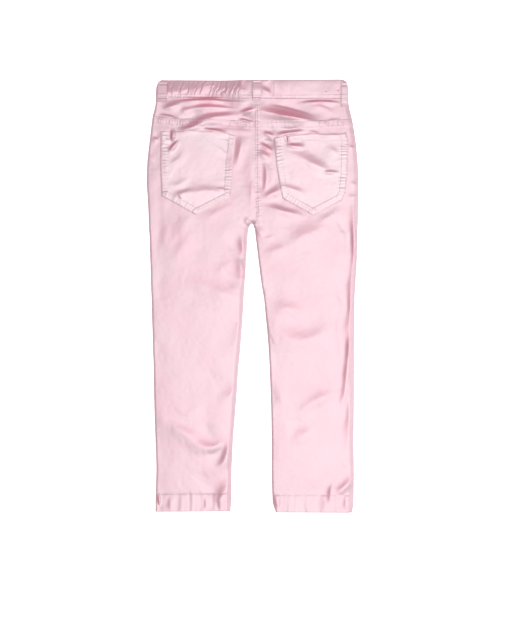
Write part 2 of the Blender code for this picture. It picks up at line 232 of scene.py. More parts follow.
# A fold runs through three places (across, down). On its flank the cloth rises by twice `rise`
# towards the lower right, most steeply along the bend, where height over distance is `rise` over
# `flank`; it sinks back to its own level over `spread` on both sides. The flank starts softly
# at its upper left and ends crisply at its lower right, or the other way about if it is below
# zero. With a rise below zero, the cloth falls towards the lower right instead.
FOLD_ROWS = [
    # the yoke on the wearer's left
    ((-124, 41), (-80, 28.5), (-1, 35), 1.7, 6.5, 2.1),
    ((-132, 43), (-121, 38), (-100, 33), 0.94, 5, 2.6),
    ((-104, 42.5), (-58, 38), (-12, 42.5), 2, 6.5, 2.8),
    ((-106, 45), (-95, 42), (-84, 43), 0.59, 6, 2.6),
    ((-94, 64), (-52, 52), (-3, 50), 2.04, 7, 2.9),
    ((-110, 71), (-89, 66.5), (-64, 58.5), 2, 6, 3.2),
    ((-136, 51), (-121, 52), (-104, 58), 0.59, 5, 1.1),
    ((-22, 56.5), (-9, 58), (4, 63), 0.9, 3, 1.2),
    ((-64, 71), (-30, 70), (6, 73), 0.59, 7, 3),
    ((-137, 2), (-139.5, 30), (-143, 64), 0.42, 6, 2.4),
    # over the centre seam, and the yoke on the wearer's right
    ((-22, 47.5), (-9, 45), (6, 40), 0.85, 4, 1.5),
    ((-6, 40), (46, 46.5), (106, 59), 2.3, 14, 5.2),
    ((12, 48.5), (50, 52), (98, 60), 0.68, 6, 2),
    ((20, 36.5), (50, 40), (94, 54.5), 0.85, 6, -2.2),
    ((60, 34.5), (95, 31.2), (130, 34), 1.02, 5, 1.2),
    ((74, 40), (98, 38), (118, 49), 0.68, 6.5, 2.4),
    ((104, 60), (115, 57), (128, 56), 0.21, 4, 1),
    # the waistband beside the middle loop
    ((12, 6), (18, 14), (30, 19), 0.85, 6, 2.6),
    ((-22, 4), (-17, 12), (-4, 17), 0.51, 6, 2.8),
    # just under the yoke
    ((-74, 70), (-54, 72.3), (-33, 77.5), 1.27, 4, 1.3),
    ((14, 74.5), (22, 77), (33, 81.5), 0.77, 4, 1.3),
    ((30, 81), (47, 76), (78, 72.5), 1.36, 4, 1.7),
    ((79, 73), (88, 75), (99, 78), 0.42, 4.4, 1.3),
    ((103, 78.5), (117, 78.3), (128, 80), 0.21, 4.4, 1),
    # the seat
    ((-15, 70), (-21, 96), (-28, 132), 1, 9, 4.2),
    ((-30, 84), (-33, 120), (-26, 170), 0.26, 10, 4.4),
    ((-9, 76), (-8, 140), (-9, 206), 0.45, 14, 7),
    ((0, 136), (-3, 162), (-5, 190), 0.17, 4, 1.6),
    ((9, 89.5), (20, 95.5), (31, 103), 1.27, 4, 1.7),
    ((6, 101), (19, 106), (30, 113), 1.7, 6, 3.6),
    ((13, 114), (17, 142), (12, 168), 1, 8, 3),
    ((8, 172), (25, 161), (47, 152), 1.02, 8, 4.2),
    ((8, 179), (40, 184), (82, 196), 0.9, 10, 3.6),
    ((84, 203), (106, 193), (134, 178), 0.42, 10, 5),
    # the pocket on the wearer's left, and beside it
    ((-116.4, 71), (-115.4, 79), (-116.6, 90), 2.21, 4, 1.5),
    ((-114, 172), (-74, 157), (-30, 162), 0.6, 12, 3.8),
    ((-120, 170), (-102, 160), (-80, 155), 0.6, 8, 3.2),
    ((-57, 156), (-42, 156.5), (-29, 161), 0.34, 5, 1.2),
    ((-107, 85), (-114, 95), (-123, 105), 1.5, 4, 1.6),
    ((-95, 98), (-108, 114), (-124, 121), 0.3, 6, 2.2),
    ((-52, 94), (-43, 101), (-33, 110), 0.17, 5, 1.6),
    ((-126, 143), (-110, 148), (-86, 134), 0.42, 8, 4),
    ((-108, 166), (-104, 168), (-101, 174), 0.34, 2.6, 1.2),
    ((-144, 83), (-138, 85), (-133, 87), 0.59, 4, 1.3),
    ((-151, 111), (-146, 116), (-142, 121), 0.26, 6, 2),
    # the pocket on the wearer's right, and beside it
    ((49.6, 79), (50, 86), (52, 94), 1.02, 2.4, 1),
    ((46, 91.5), (58, 93.5), (78, 95), 1.5, 4, 2.2),
    ((38, 91), (84, 114), (126, 129), 1.1, 12, 6),
    ((44, 122), (72, 126), (98, 158), 0.34, 9, -4),
    ((98, 131), (112, 131.5), (128, 133), 0.77, 4, 1.8),
    ((34, 150), (56, 154), (84, 166), 0.5, 8, 2.8),
    ((104, 92), (115, 98), (127, 106), 0.59, 8, 4.2),
    ((136, 95), (142, 96), (149, 97), 0.34, 3.4, 1.1),
    ((138, 145), (145, 148), (152, 149), 0.34, 5, 2.4),
    ((134, 167), (143, 166.5), (152, 167), 0.34, 5, 2),
    # the long crease inside the wearer's right side edge
    ((139, 158), (142, 225), (140.5, 300), 0.76, 5, 3.1),
    ((142.5, 200), (144.5, 238), (142.5, 272), 0.26, 2.4, 0.8),
    ((140.5, 252), (137, 332), (133, 404), 0.85, 5.5, 3.4),
    ((138.5, 340), (133.5, 404), (127, 470), 0.88, 5, 3),
    ((132, 430), (129, 448), (121, 472), 0.55, 6, 2.8),
    ((134, 446), (135, 494), (127, 540), 0.6, 6, 3.4),
    # the wearer's left leg
    ((-84, 182), (-101, 203), (-119, 236), 0.45, 9, 6.2),
    ((-70, 205), (-96, 224), (-128, 276), 0.4, 11, 5.4),
    ((-74, 201), (-50, 186), (-24, 171), 0.36, 10, 4.2),
    ((-14, 198), (-9, 206), (-3, 213), 0.54, 5, 2.4),
    ((-19, 216), (-17, 238), (-11, 262), 1, 7, 4),
    ((-58, 257), (-32, 266), (-8, 284), 0.54, 13, 6.6),
    ((-28, 258), (-19, 274), (-11, 296), 1.5, 8, 5.2),
    ((-100, 280), (-56, 295), (-6, 312), 0.7, 12, 6.6),
    ((-100, 312), (-72, 322), (-30, 326), 0.21, 16, 8),
    ((-27, 334), (-24, 358), (-29, 396), 0.36, 9, 4.4),
    ((-14, 338), (-18, 347), (-28, 353), 0.18, 5, 1.6),
    ((-108, 470), (-90, 474), (-68, 466), 0.3, 14, 6),
    ((-54, 460), (-36, 450), (-22, 428), 0.54, 12, 5),
    ((-140, 478), (-99, 500), (-56, 525), 0.8, 11, 6),
    ((-92, 514), (-64, 523), (-36, 509), 0.9, 9, 4.6),
    ((-53, 562), (-43, 540), (-33, 508), 0.8, 9, 4.6),
    ((-62, 556), (-50, 550), (-36, 536), 0.3, 9, 4.6),
    ((-61, 606), (-46, 590), (-35, 564), 1.2, 10, 5.6),
    ((-52, 596), (-49, 606), (-49, 618), 0.42, 5, 2.6),
    ((-137, 592), (-134.5, 601), (-134.5, 612), 0.7, 2.4, 1.2),
    ((-120, 595), (-119, 606), (-119, 618), 0.4, 4, 1.9),
    ((-69, 595), (-68, 606), (-68, 618), 0.4, 3, 1.5),
    ((-136, 90), (-139, 220), (-132, 360), -0.3, 9, 4.6),
    # the wearer's right leg
    ((2, 212), (8, 220), (15, 230), 0.54, 6, 3),
    ((8, 252), (30, 242), (56, 233), 0.42, 10, 4.4),
    ((40, 237), (66, 221), (112, 202), 0.75, 12, 6.8),
    ((10, 228), (20, 225), (33, 223), 0.18, 6, 2),
    ((24, 266), (32, 267), (42, 266), 0.12, 8, 4),
    ((13, 301), (18, 306), (24, 313), 0.24, 5, 2),
    ((25, 340), (48, 323), (84, 338), 0.75, 12, 6),
    ((22, 326), (62, 366), (122, 336), 0.75, 16, 8.4),
    ((22, 351), (27, 369), (36, 390), 0.12, 5, 1.4),
    ((27, 430), (34, 450), (36, 474), 0.7, 11, 6.4),
    ((46, 490), (84, 455), (130, 440), 0.75, 13, 6.8),
    ((50, 516), (67, 509), (88, 494), 0.9, 8, 4.2),
    ((52, 612), (92, 578), (120, 510), -0.4, 16, 8),
    ((112, 592), (131, 578), (149, 560), 1.3, 7, 4),
    ((113, 574), (110, 592), (109, 612), 0.5, 4, 1.8),
    ((131, 590), (131, 604), (132, 620), 0.5, 4, 2),
    ((29, 588), (32, 601), (36, 616), 0.84, 4, 2),
]
FOLDS = [Fold(*row) for row in FOLD_ROWS]
# How many straight steps a bend has.
FOLD_STEPS = 14
# The share of a bend over which a fold fades at each end.
FOLD_FADE = 0.45
# A flank's width, over its `flank`, and where on that width the bend lies.
FLANK_WIDTH = 4.8
STEEPEST = 0.79
# How much more softly a flank starts than it ends.
FLANK_POWER = 2.2
# How far the whole fold is lifted, over its `rise`.
LIFTED = 0.35
# How much a fold's width and height wander.
FOLD_WANDER = 0.4


def bend_through(start, middle, end, count):
    """Places along a bend through three places: a quadratic that passes the middle half way."""
    t = np.linspace(0, 1, count)[:, None]
    start, middle, end = (np.array(place, float) for place in (start, middle, end))
    handle = 2 * middle - (start + end) / 2
    return start * (1 - t) ** 2 + handle * 2 * t * (1 - t) + end * t * t


def near_path(path, reach, across, down):
    """The points that lie within `reach` of the box around a path."""
    low, high = path.min(axis=0) - reach, path.max(axis=0) + reach
    return (across > low[0]) & (across < high[0]) & (down > low[1]) & (down < high[1])


def fold_shape(fold, across, down):
    """A fold's height, and how steep its flank is. Over the flank's width t runs from 0 to 1, and
    the height from -1 to 1 is twice a smooth step of t to the flank's power, less 1. Beyond it,
    the height dies out as a bell. It fades at both ends and is a little uneven between them. The
    steepness is the height's derivative over the flank's width. Only folds that rise towards the
    lower right have it, and it sets the shade painted on their shaded flank."""
    path = bend_through(*fold[:3], FOLD_STEPS)
    along = path[-1] - path[0]
    if along[0] - along[1] < 0:
        path = path[::-1]
    half = abs(fold.flank)
    wide = FLANK_WIDTH * half
    near = near_path(path, 2.2 * fold.spread + wide, across, down)
    height, steep = np.zeros(across.shape), np.zeros(across.shape)
    if not near.any():
        return height, steep
    across, down = across[near], down[near]
    run, side, gap, length = beside(path, across, down)
    wobble = rough(across, down, 12 + 5 * half, 60)
    aside = np.sign(side) * gap + 0.5 * half * wobble
    ends = run / length
    fade = smooth_step(ends / FOLD_FADE) * smooth_step((1 - ends) / FOLD_FADE)
    fade = fade * (1 + FOLD_WANDER * rough(across, down, 7 + 5 * half, 61))
    turned = np.sign(fold.flank)
    place = turned * aside / (wide * (1 + FOLD_WANDER * wobble)) + STEEPEST
    t = np.clip(place, 0, 1)
    bell = np.exp(-((wide * (place - t) / fold.spread) ** 2))
    level = turned * (2 * smooth_step(t**FLANK_POWER) - 1)
    height[near] = fold.rise * fade * (level + LIFTED) * bell
    slope = 12 * FLANK_POWER / FLANK_WIDTH * (t ** (2 * FLANK_POWER - 1) - t ** (3 * FLANK_POWER - 1))
    # Painted shade: only the shaded flank of a fold that rises towards the lower right gets a steepness, and
    # that steepness deepens the satin's colour.
    steep[near] = max(fold.rise, 0) / half * fade * slope
    return height, steep


# ---- seams

Seam = namedtuple("Seam", "path width lift pucker wave rows seed groove", defaults=(0.14,))
# A seam's path, the width and lift of its folded band, the height of its puckers and their
# distance apart, how far to the side of the path each row of stitches runs, a seed, and how deep
# the stitches pull in.
ROW_WIDTH = 0.7


def line_path(line, start, end, shift=0.0, count=40):
    """A path of a line that runs across, between two places, moved down by a shift."""
    across = np.linspace(start, end, count)
    return np.stack([across, curve_at(across, line.across, line.down) + shift], axis=1)


CENTRE_SEAM = np.array([(6.4, 28), (6.9, 70), (7, 128), (7.6, 165), (8.2, 186), (8.8, 197), (10, 207)])
# Stretches of the yoke's seam: start, end, pucker, wave, seed and groove.
YOKE_PUCKERS = (
    (-145, -130, 0.5, 3.6, 13, 0.14),
    (-130, -114, 0.1, 3.6, 27, 0.14),
    (-114, -97, 0.5, 3.3, 23, 0.14),
    (-97, -72, 0.6, 3.4, 28, 0.14),
    (-72, -28, 0.1, 4.2, 24, 0.14),
    (-28, 6, 0.45, 4, 29, 0.14),
    (7, 100, 0.08, 5.4, 14, 0.08),
    (100, 147, 0.3, 4.4, 25, 0.08),
)
BACK_SEAMS = [
    Seam(line_path(WAIST_SEAM, -139, -14, -2.6), 5.2, 0.15, 0.3, 4.6, (0.6,), 11),
    Seam(line_path(WAIST_SEAM, -12, 138, -2.6), 5.2, 0.15, 0.06, 6.2, (1.2,), 12, 0.08),
    *(
        Seam(line_path(YOKE_SEAM, start, end, -4.8), 9.6, 0.3, pucker, wave, (-3.0, 3.0), seed, groove)
        for start, end, pucker, wave, seed, groove in YOKE_PUCKERS
    ),
    Seam(CENTRE_SEAM, 4.4, 0.2, 0.4, 4.3, (0.2,), 15),
    Seam(line_path(HEM_LINE, -139, -31, -26), 2.0, 0.0, 0.16, 7.0, (0.0,), 16, 0.2),
    Seam(line_path(HEM_LINE, 29, 144, -25), 2.0, 0.0, 0.18, 7.4, (0.0,), 18, 0.2),
    # upright rows on the waistband
    Seam(np.array([(-12.9, 3), (-12.6, 26)]), 1.4, 0.0, 0.15, 3.6, (0.0,), 20),
    Seam(np.array([(-2.1, 3), (-2.4, 27)]), 1.4, 0.0, 0.15, 3.6, (0.0,), 21),
    Seam(np.array([(30.0, 3), (30.4, 27)]), 1.4, 0.0, 0.12, 3.6, (0.0,), 22, 0.4),
]


def seam_relief(seams, across, down):
    """Each seam's raised band, its grooves along the stitches, and its puckers: along the seam, a
    wave whose length and height wander plus a finer crinkle, both strongest over the band, dying
    out as a bell beside it and fading at its ends."""
    total = np.zeros(across.shape)
    for seam in seams:
        near = near_path(seam.path, seam.width / 2 + 7, across, down)
        if not near.any():
            continue
        run, side, gap, length = beside(seam.path, across[near], down[near])
        side = np.sign(side) * gap
        height = seam.lift * smooth_step((seam.width / 2 + 0.4 - gap) / 0.8)
        for row in seam.rows:
            height = height - seam.groove * np.exp(-(((side - row) / ROW_WIDTH) ** 2))

        def wander(waves, more):
            return rough(run, 0 * run, waves * seam.wave, seam.seed + more)

        phase = 2 * pi * run / seam.wave + 2.6 * wander(2.4, 0)
        phase = phase + 0.3 * side * wander(2, 50)
        strength = 0.5 + 0.7 * wander(3, 100)
        beyond = np.clip(gap - 0.2 * seam.width, 0, None)
        window = np.exp(-((beyond / (1.4 + 0.34 * seam.width)) ** 2))
        window = window * smooth_step(run / 4) * smooth_step((length - run) / 4)
        crinkle = rough(run, 0.2 * side, 0.45 * seam.wave, seam.seed + 150)
        height = height + seam.pucker * strength * window * (0.4 * np.sin(phase) + 0.75 * crinkle)
        total[near] += height
    return total


# ---- the back's surface

GATHER_ENDS = (-134.0, -15.0)
# Two small dents near the end of the waistband on the wearer's right: place and depth.
DENTS = (((105.1, 16.4), 0.3), ((122.3, 15), 0.35))


def gathers(across, down):
    """The elastic's ripples along the waistband on the wearer's left: narrow upright waves whose
    spacing and slant wander, deep above and faint on the stitched lower edge, on a band that leans
    down towards its top. On the right, two small dents."""
    start, end = GATHER_ENDS
    inside = smooth_step((across - start) / 10) * smooth_step((end - across) / 8)
    inside = inside * (1 - 0.75 * smooth_step((down - 17) / 6)) * smooth_step((28 - down) / 2)
    wander = across + 0.25 * down + 4.0 * rough(across, down, 14, 31) + 2.6 * rough(across, down, 6, 32)
    wave = 0.2 * np.cos(2 * pi * wander / 8.2) + 0.16 * np.cos(2 * pi * wander / 4.7 + 1)
    wave = wave * (0.7 + 0.7 * rough(across, down, 15, 33))
    leaning = 2.5 * smooth_step((down - 1) / 19) - 2.5 - 0.7 * smooth_step((down - 19) / 7)
    dents = sum(depth * bump(across, down, place, 0.3, 2.4) for place, depth in DENTS)
    return inside * (wave + leaning) - dents


def facing_distances(across, down):
    """How far a place lies from the edges that face the wearer's left, and their right."""
    outer, inner = side_distances(across, down)
    left, right = edge("inner_left")(down), edge("inner_right")(down)
    on_left = across < (left + right) / 2
    west = across - edge("outer_left")(down)
    east = edge("outer_right")(down) - across
    below = down > CROTCH[1]
    west = np.where(below & ~on_left, inner, np.where(below, west, np.minimum(west, inner)))
    east = np.where(below & on_left, inner, np.where(below, east, np.minimum(east, inner)))
    return west, east


def side_distances(across, down):
    """How far a place lies from the nearest outer edge, and from the inner edges or the crotch."""
    outer = np.minimum(across - edge("outer_left")(down), edge("outer_right")(down) - across)
    left, right = edge("inner_left")(down), edge("inner_right")(down)
    beside_leg = np.where(across < (left + right) / 2, left - across, across - right)
    above = np.hypot(across - CROTCH[0], np.clip(CROTCH[1] - down, 0, None))
    return outer, np.where(down > CROTCH[1], np.maximum(beside_leg, 0), above)


def hem_ripples(across, down):
    """The hems: doubled cloth that flares up a little towards its free edge, in upright waves that
    the stitching draws up. Each value pair is for the wearer's left and right."""
    depth = curve_at(across, HEM_LINE.across, HEM_LINE.down) - down
    right = across > 0
    wander = across + 6 * rough(across, down, 30, 41)
    wave = 0.13 * np.cos(2 * pi * wander / 17) + 0.07 * np.cos(2 * pi * wander / 9.3 + 2)
    flare = np.where(right, 0.05, 0.08) * np.clip(HEM_DEPTH - depth, 0, None)
    doubled = 0.25 * smooth_step((HEM_DEPTH - depth) / 1.2)
    return smooth_step((30 - depth) / 8) * (wave * np.where(right, 1.2, 1.0) + flare + doubled)


def fold_relief(across, down):
    """All folds together."""
    return sum(fold_shape(fold, across, down)[0] for fold in FOLDS)


def painted_fold_shade(across, down):
    """How steep the shaded flanks of the folds are, which sets the shade painted on the satin there."""
    return sum(fold_shape(fold, across, down)[1] for fold in FOLDS)


def back_base(across, down):
    """The back's surface without its waist and seams: it rises from each edge, as a quarter circle
    where the edge faces the wearer's left and as a slacker parabola where it faces their right,
    and has the legs' loft, the folds and a wide soft unevenness. A softened maximum keeps it above
    the front."""
    outer, inner = side_distances(across, down)
    nearest = np.minimum(outer, inner)
    west, east = facing_distances(across, down)
    slack = 1 - (1 - np.clip(east / SLACK_RADIUS, 0, 1)) ** 2
    height = SIDE_SEAM + 0.25 + EDGE_RISE * np.minimum(rounding(west / EDGE_RADIUS), slack)
    loft = LOFT * smooth_step(0.2 + outer / LOFT_RADIUS) * smooth_step(0.2 + inner / LOFT_RADIUS)
    loft = loft * smooth_step((down + 5) / 110) * (0.3 + 0.7 * smooth_step((LENGTH - down) / 50))
    loft = loft + LEG_RISE * np.clip(down - LEG_RISE_START, 0, None)
    uneven = 0.4 * rough(across, down * 0.7, 46, 51) + 0.2 * rough(across, down, 19, 52)
    uneven = uneven * smooth_step(nearest / 12) + 0.06 * rough(across, down, 5, 53)
    raised = height + loft + (fold_relief(across, down) + uneven) * smooth_step(nearest / 3.0)
    least = LEAST_HEIGHT - 0.5 * (1 - rounding(nearest / 2.8))
    return least + LEAST_SOFTNESS * np.logaddexp(0, (raised - least) / LEAST_SOFTNESS)


def back_height(across, down):
    """The height of the back's outer face, with the waistband's step, the rise over the button,
    the seams, the gathers and the hems."""
    band = 0.6 * smooth_step((WAIST_DEPTH + 0.6 - down) / 1.2)
    lift = 3.4 * bump(across, down, (3, 14), 24, 52)
    relief = seam_relief(BACK_SEAMS, across, down)
    return back_base(across, down) + band + lift + relief + gathers(across, down) + hem_ripples(across, down)


# ---- meshes


def patch(top, bottom, left, right, columns, rows, gap=0.06):
    """Across and down on a grid between two lines and two edges."""
    half = gap / 2
    v = np.asarray(rows)[:, None]
    u = np.asarray(columns)[None, :]
    down = v * LENGTH + 0 * u
    for _ in range(6):
        start = left(down) + half
        across = start + (right(down) - half - start) * u
        start = top(across) + half
        down = start + (bottom(across) - half - start) * v
    return across, down


def even(count):
    """Grid lines from 0 to 1, evenly spaced."""
    return np.linspace(0, 1, count + 1)


def crowded(count, share, crowd, start=True, end=True):
    """Grid lines from 0 to 1, evenly spaced but for crowded ones near the ends, on a circle's
    spacing, where the cloth rounds over an edge."""
    arc = share * (1 - np.cos(np.linspace(0, pi / 2, crowd + 1)))
    low = share if start else 0.0
    high = 1 - share if end else 1.0
    parts = [np.linspace(low, high, count + 1)]
    if start:
        parts.insert(0, arc[:-1])
    if end:
        parts.append(1 - arc[:-1][::-1])
    return np.concatenate(parts)


def added(name, points, faces, sharp=None):
    """A new object of points in millimetres and faces, shaded smooth up to an angle."""
    mesh = bpy.data.meshes.new(name)
    mesh.from_pydata((points.reshape(-1, 3) * MM).tolist(), [], faces)
    mesh.shade_smooth()
    if sharp:
        mesh.set_sharp_from_angle(angle=sharp)
    piece = bpy.data.objects.new(name, mesh)
    bpy.context.scene.collection.objects.link(piece)
    return piece


def shell(name, across, down, upper, lower, coarse=1, crowd=0, painted_shade=None):
    """A closed shell of cloth: a fine grid above, a coarser one below it that keeps the `crowd`
    lines at the edges, and a rim between them. The vertex attribute holds painted shade: how far
    the satin's colour deepens where shade falls on the folds, the gathers and the pockets' edges."""
    rows, columns = across.shape

    def kept(count):
        inside = np.arange(crowd, count - crowd, coarse)
        ends = np.concatenate([np.arange(crowd), np.arange(count - crowd, count)])
        return np.unique(np.concatenate([ends, inside, [0, count - 1]]))

    lower_rows, lower_columns = kept(rows), kept(columns)
    places = np.stack([across, LENGTH / 2 - down, upper], axis=-1)
    under = np.stack([across, LENGTH / 2 - down, lower], axis=-1)[np.ix_(lower_rows, lower_columns)]
    points = np.concatenate([places.reshape(-1, 3), under.reshape(-1, 3)])

    def quads(height, width, first, order):
        index = first + np.arange(height * width).reshape(height, width)
        corners = (index[:-1, :-1], index[1:, :-1], index[1:, 1:], index[:-1, 1:])
        return np.stack([corners[k] for k in order], axis=-1).reshape(-1, 4)

    first = rows * columns
    tall, wide = len(lower_rows), len(lower_columns)
    faces = quads(rows, columns, 0, (0, 1, 2, 3)).tolist()
    faces += quads(tall, wide, first, (3, 2, 1, 0)).tolist()
    above = np.arange(first).reshape(rows, columns)
    below = first + np.arange(tall * wide).reshape(tall, wide)
    sides = [
        (above[0], below[0], lower_columns, True),
        (above[-1], below[-1], lower_columns, False),
        (above[:, 0], below[:, 0], lower_rows, False),
        (above[:, -1], below[:, -1], lower_rows, True),
    ]
    for fine, rough_edge, marks, turned in sides:
        for k, (a, b) in enumerate(zip(marks[:-1], marks[1:])):
            face = [rough_edge[k], rough_edge[k + 1], *fine[a : b + 1][::-1]]
            faces.append([int(i) for i in (face if turned else face[::-1])])
    piece = added(name, points, faces, SHARP)
    values = np.zeros(len(points), np.float32)
    if painted_shade is not None:
        values[: upper.size] = painted_shade.reshape(-1)
    piece.data.attributes.new("painted_shade_amount", "FLOAT", "POINT").data.foreach_set("value", values)
    piece.data.update()
    return piece


def steepness(across, down, height):
    """How steeply the cloth falls at each point of a grid, as height over distance."""
    a_row, a_column = np.gradient(across)
    d_row, d_column = np.gradient(down)
    h_row, h_column = np.gradient(height)
    area = a_column * d_row - a_row * d_column
    east = (h_column * d_row - h_row * d_column) / area
    south = (h_row * a_column - h_column * a_row) / area
    return np.hypot(east, south)


def finished(piece, material, slot, *nodes):
    """A piece with its material, riding on the frame in the place of its solids."""
    piece.data.materials.append(bpy.data.materials[material])
    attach(piece, "root")
    if nodes:
        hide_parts(*nodes)


def laid(piece, grid, material, slot, node, spare=0.0):
    """A finished sheet that rests on another. Its stated cut is its grid's, with some to spare. Its grid's
    cut, with some to spare, is worked out but not kept.
    """
    finished(piece, material, slot, node)
    cut, area = flat_cut(*grid)
    cut = tuple(side + spare for side in cut)


def flat_cut(across, down):
    """The width, length and area, in metres, of the flat cloth that a grid was cut from."""
    width, length = np.ptp(across), np.ptp(down)
    a = np.stack([across, down], axis=-1)
    one, two = a[1:, 1:] - a[:-1, :-1], a[1:, :-1] - a[:-1, 1:]
    area = np.abs(one[..., 0] * two[..., 1] - one[..., 1] * two[..., 0]).sum() / 2
    return (width * MM, length * MM), area * MM * MM


# ---- shaders


class Value:
    """A socket or a number in a material's node tree, with arithmetic that adds Math nodes."""

    def __init__(self, maker, socket):
        self.maker = maker
        self.socket = socket

    def _math(self, operation, *others):
        return self.maker.add("ShaderNodeMath", {"operation": operation}, [self, *others])

    def __add__(self, other):
        return self._math("ADD", other)

    def __sub__(self, other):
        return self._math("SUBTRACT", other)

    def __rsub__(self, other):
        return self.maker.add("ShaderNodeMath", {"operation": "SUBTRACT"}, [other, self])

    def __mul__(self, other):
        return self._math("MULTIPLY", other)

    def clamped(self, low, high):
        return self.maker.add("ShaderNodeMapRange", {"clamp": True}, [self, low, high])

    __radd__ = __add__
    __rmul__ = __mul__


class Maker:
    """Adds nodes to a new material, whose surface is a Principled BSDF."""

    def __init__(self, name):
        self.material = bpy.data.materials.new(name)
        self.material.use_nodes = True
        self.tree = self.material.node_tree
        self.surface = self.tree.nodes["Principled BSDF"]

    def link(self, socket, value):
        if isinstance(value, Value):
            self.tree.links.new(value.socket, socket)
        elif value is not None:
            socket.default_value = value

    def add(self, kind, settings=None, values=(), output=0, **named):
        """A node of a type, with its settings made first and then its sockets' values or links."""
        node = self.tree.nodes.new(kind)
        for key, setting in (settings or {}).items():
            setattr(node, key, setting)
        for socket, value in zip(node.inputs, values):
            self.link(socket, value)
        for key, value in named.items():
            self.link(node.inputs[key.replace("_", " ")], value)
        return Value(self, node.outputs[output])

    def place(self, scale=(1, 1, 1), turn=0.0):
        """Object coordinates in millimetres, stretched and turned about the upright."""
        where = self.add("ShaderNodeTexCoord", output=3)
        size = tuple(1000 * part for part in scale)
        return self.add("ShaderNodeMapping", {}, [where, (0, 0, 0), (0, 0, turn), size])

    def noise(self, where, scale, detail=2.0, roughness=0.5):
        return self.add(
            "ShaderNodeTexNoise", {}, Vector=where, Scale=scale, Detail=detail, Roughness=roughness
        )

    def mix(self, share, first, second):
        node = self.tree.nodes.new("ShaderNodeMix")
        node.data_type = "RGBA"
        self.link(node.inputs[0], share)
        self.link(node.inputs[6], first)
        self.link(node.inputs[7], second)
        return Value(self, node.outputs[2])

    def bump(self, height, distance, under=None, strength=1.0):
        return self.add(
            "ShaderNodeBump", {}, Height=height, Distance=distance, Strength=strength, Normal=under
        )

    def surfaced(self, **sockets):
        for key, value in sockets.items():
            self.link(self.surface.inputs[key.replace("_", " ")], value)


def colour(rgb):
    return (*rgb, 1.0)


def satin(name, light, deep, gloss):
    """Satin: a pale face deepened by painted shade where the mesh's attribute marks shade on the
    folds, the gathers and the pockets' edges, and a little in broad random patches, with long warp
    floats as fine ribs, small slubs, faint crumples and a soft gloss that wanders."""
    maker = Maker(name)
    # Painted shade: the attribute sets how far the pale colour is mixed towards the deep one. The broad noise
    # patches after it are random tone.
    painted_shade_amount = maker.add("ShaderNodeAttribute", {"attribute_name": "painted_shade_amount"}, output=2)
    painted_shade_share = painted_shade_amount.clamped(0.02, 0.62)
    broad = maker.noise(maker.place(), 0.02, 3.0)
    shade = maker.mix(painted_shade_share, colour(light), colour(deep))
    shade = maker.mix((broad - 0.5).clamped(-0.3, 0.6) * 0.35, shade, colour(deep))
    floats = maker.noise(maker.place((0.9, 5.0, 1.0), 0.5), 1.0, 2.0, 0.6)
    slubs = maker.noise(maker.place((0.35, 2.2, 1.0), 0.0), 1.0, 3.0, 0.6)
    crumple = maker.noise(maker.place(), 0.16, 4.0, 0.6)
    weave = maker.bump(floats, 0.000012)
    weave = maker.bump(slubs, 0.00003, weave)
    weave = maker.bump(crumple, 0.00018, weave)
    maker.surfaced(
        Base_Color=shade,
        Roughness=(slubs - 0.5) * 0.16 + 0.42,
        Metallic=0.25,
        IOR=1.5,
        Coat_Weight=gloss,
        Coat_Roughness=0.4,
        Coat_IOR=1.85,
        Sheen_Weight=0.1,
        Sheen_Roughness=0.5,
        Normal=weave,
    )
    maker.surface.inputs["Sheen Tint"].default_value = (1.0, 0.86, 0.91, 1.0)
    return maker.material


def thread(name, light):
    """Twisted polyester thread."""
    maker = Maker(name)
    twist = maker.noise(maker.place((3.0, 3.0, 3.0)), 1.0, 2.0)
    maker.surfaced(
        Base_Color=maker.mix(twist, colour(light), colour([0.8 * part for part in light])),
        Roughness=0.5,
        Sheen_Weight=0.3,
        Normal=maker.bump(twist, 0.0001, strength=0.6),
    )
    return maker.material


def brushed_metal(name, light):
    """Turned metal with faint rings and small scratches."""
    maker = Maker(name)
    grain = maker.noise(maker.place((1.0, 14.0, 1.0)), 1.0, 3.0)
    maker.surfaced(
        Base_Color=maker.mix(grain, colour(light), colour([0.82 * part for part in light])),
        Metallic=1.0,
        Roughness=grain * 0.2 + 0.24,
        Normal=maker.bump(grain, 0.00003, strength=0.5),
    )
    return maker.material


def pale_floor(name, light, glow):
    """A matt white table, evenly lit."""
    maker = Maker(name)
    grain = maker.noise(maker.place(), 0.05, 2.0)
    maker.surfaced(
        Base_Color=maker.mix(grain * 0.02, colour(light), (0.9, 0.9, 0.9, 1)),
        Roughness=0.9,
        Emission_Color=(1, 1, 1, 1),
        Emission_Strength=glow,
    )
    return maker.material


# ---- settings


class SatinJeansCloth(bpy.types.PropertyGroup):
    light: FloatVectorProperty(
        name="Satin",
        description="Colour of the satin where it lies level",
        subtype="COLOR",
        default=(0.72, 0.49, 0.55),
    )
    # Painted light: the pockets' satin is the same cloth painted paler, not a colour of its own.
    pocket: FloatVectorProperty(
        name="Pocket satin",
        description="Colour of the doubled satin",
        subtype="COLOR",
        default=(0.76, 0.57, 0.62),
    )
    # The deep colour is painted shade on the satin's folds, gathers and pocket edges, and also a random
    # deeper tone in broad patches.
    deep: FloatVectorProperty(
        name="Satin in folds",
        description="Colour of the satin in its folds",
        subtype="COLOR",
        default=(0.80, 0.26, 0.37),
    )
    thread: FloatVectorProperty(
        name="Thread",
        description="Colour of the topstitching",
        subtype="COLOR",
        default=(0.92, 0.76, 0.81),
    )
    metal: FloatVectorProperty(
        name="Button", description="Colour of the button", subtype="COLOR", default=(0.70, 0.69, 0.68)
    )
    gloss: FloatProperty(name="Gloss", description="Pale gloss over the satin", default=1.0, min=0, max=1)
    stitch: FloatProperty(
        name="Stitch", description="Length of one stitch, in millimetres", default=2.6, min=1, max=6
    )
    stitch_gap: FloatProperty(
        name="Stitch gap", description="Gap between two stitches, in millimetres", default=1.7, min=0.1, max=3
    )
    grid: FloatProperty(
        name="Grid",
        description="Distance between grid lines on the legs, in millimetres",
        default=1.1,
        min=0.8,
        max=4,
    )


